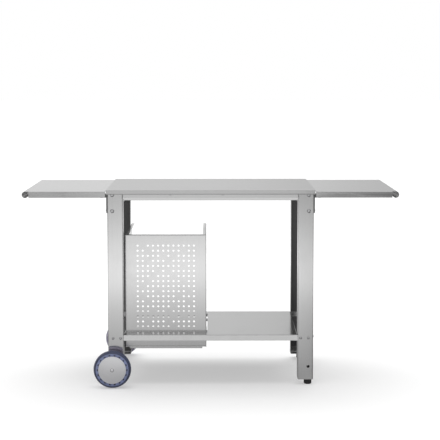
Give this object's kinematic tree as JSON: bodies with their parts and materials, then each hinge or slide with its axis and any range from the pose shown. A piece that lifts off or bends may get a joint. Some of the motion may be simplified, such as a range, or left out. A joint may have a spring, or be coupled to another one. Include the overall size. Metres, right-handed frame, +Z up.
{
  "type": "grill cart",
  "caption": "Stainless steel cart for a table grill, with fold-down side shelves, a lower shelf, a hanging gas bottle bay, wheels at one end and rubber feet at the other.",
  "frame": {"origin": "on the floor, below the middle of the top plate", "axes": "+X from the wheel end to the foot end, -Y to the front with the perforated panel, +Z up"},
  "size_m": [1.5, 0.575, 0.791],
  "materials": {
    "leg_steel": "brushed lengthwise, satin",
    "top_plate_steel": "brushed along X, satin",
    "shelf_steel": "brushed front to back, satin",
    "lower_shelf_steel": "brushed along X, satin",
    "bay_steel": "brushed upright, satin",
    "bracket_steel": "brushed, satin",
    "fastener_steel": "bright",
    "hub_cap_steel": "fine brushed",
    "tyre_rubber": "matt, slightly dusty",
    "wheel_plastic": "moulded, satin",
    "bush_plastic": "plain",
    "foot_rubber": "matt"
  },
  "bodies": {
    "frame": {"leg_front_left": "leg_steel", "leg_front_right": "leg_steel", "leg_rear_left": "leg_steel", "leg_rear_right": "leg_steel", "left_end_rail": "bracket_steel", "right_end_rail": "bracket_steel", "front_top_rail": "bracket_steel", "rear_top_rail": "bracket_steel", "top_plate": "top_plate_steel", "top_plate_nuts": "fastener_steel", "rail_screws": "fastener_steel", "rail_bolts": "fastener_steel", "rail_nuts": "fastener_steel", "leg_top_bolts": "fastener_steel", "leg_top_nuts": "fastener_steel", "lower_shelf": "lower_shelf_steel", "shelf_bolts": "fastener_steel", "shelf_nuts": "fastener_steel", "bottle_front_panel": "bay_steel", "bottle_side_left": "bay_steel", "bottle_side_right": "bay_steel", "bottle_tray": "bay_steel", "panel_rivets": "fastener_steel", "bay_bolts": "fastener_steel", "bay_spacers": "fastener_steel", "bay_nuts": "fastener_steel", "tray_bolts": "fastener_steel", "tray_nuts": "fastener_steel", "left_front_bracket": "bracket_steel", "left_rear_bracket": "bracket_steel", "right_front_bracket": "bracket_steel", "right_rear_bracket": "bracket_steel", "bracket_bolts": "fastener_steel", "bracket_nuts": "fastener_steel", "pivot_pins": "fastener_steel", "pivot_nuts": "fastener_steel", "axle": "fastener_steel", "axle_blocks": "bush_plastic", "axle_spacers": "fastener_steel", "axle_rings": "fastener_steel", "hub_screws": "fastener_steel", "hub_washers": "fastener_steel", "front_foot": "foot_rubber", "rear_foot": "foot_rubber", "foot_bolts": "fastener_steel", "foot_nuts": "fastener_steel"},
    "front_wheel": {"front_tyre": "tyre_rubber", "front_wheel_core": "wheel_plastic", "front_wheel_bushes": "bush_plastic", "front_hub_cap": "hub_cap_steel"},
    "rear_wheel": {"rear_tyre": "tyre_rubber", "rear_wheel_core": "wheel_plastic", "rear_wheel_bushes": "bush_plastic", "rear_hub_cap": "hub_cap_steel"},
    "left_side_shelf": {"left_shelf": "shelf_steel", "left_shelf_arms": "bracket_steel", "left_guide_pins": "fastener_steel"},
    "right_side_shelf": {"right_shelf": "shelf_steel", "right_shelf_arms": "bracket_steel", "right_guide_pins": "fastener_steel"}
  },
  "joints": [
    {"name": "front_wheel_spin", "type": "hinge", "parent": "frame", "child": "front_wheel", "pos_m": [-0.3925, -0.265, 0.075], "axis": [0, 1, 0], "continuous": true},
    {"name": "rear_wheel_spin", "type": "hinge", "parent": "frame", "child": "rear_wheel", "pos_m": [-0.3925, 0.265, 0.075], "axis": [0, 1, 0], "continuous": true},
    {"name": "left_shelf_fold", "type": "hinge", "parent": "frame", "child": "left_side_shelf", "pos_m": [-0.432, 0, 0.766], "axis": [0, -1, 0], "range_deg": [0, 90]},
    {"name": "right_shelf_fold", "type": "hinge", "parent": "frame", "child": "right_side_shelf", "pos_m": [0.432, 0, 0.766], "axis": [0, 1, 0], "range_deg": [0, 90]}
  ]
}
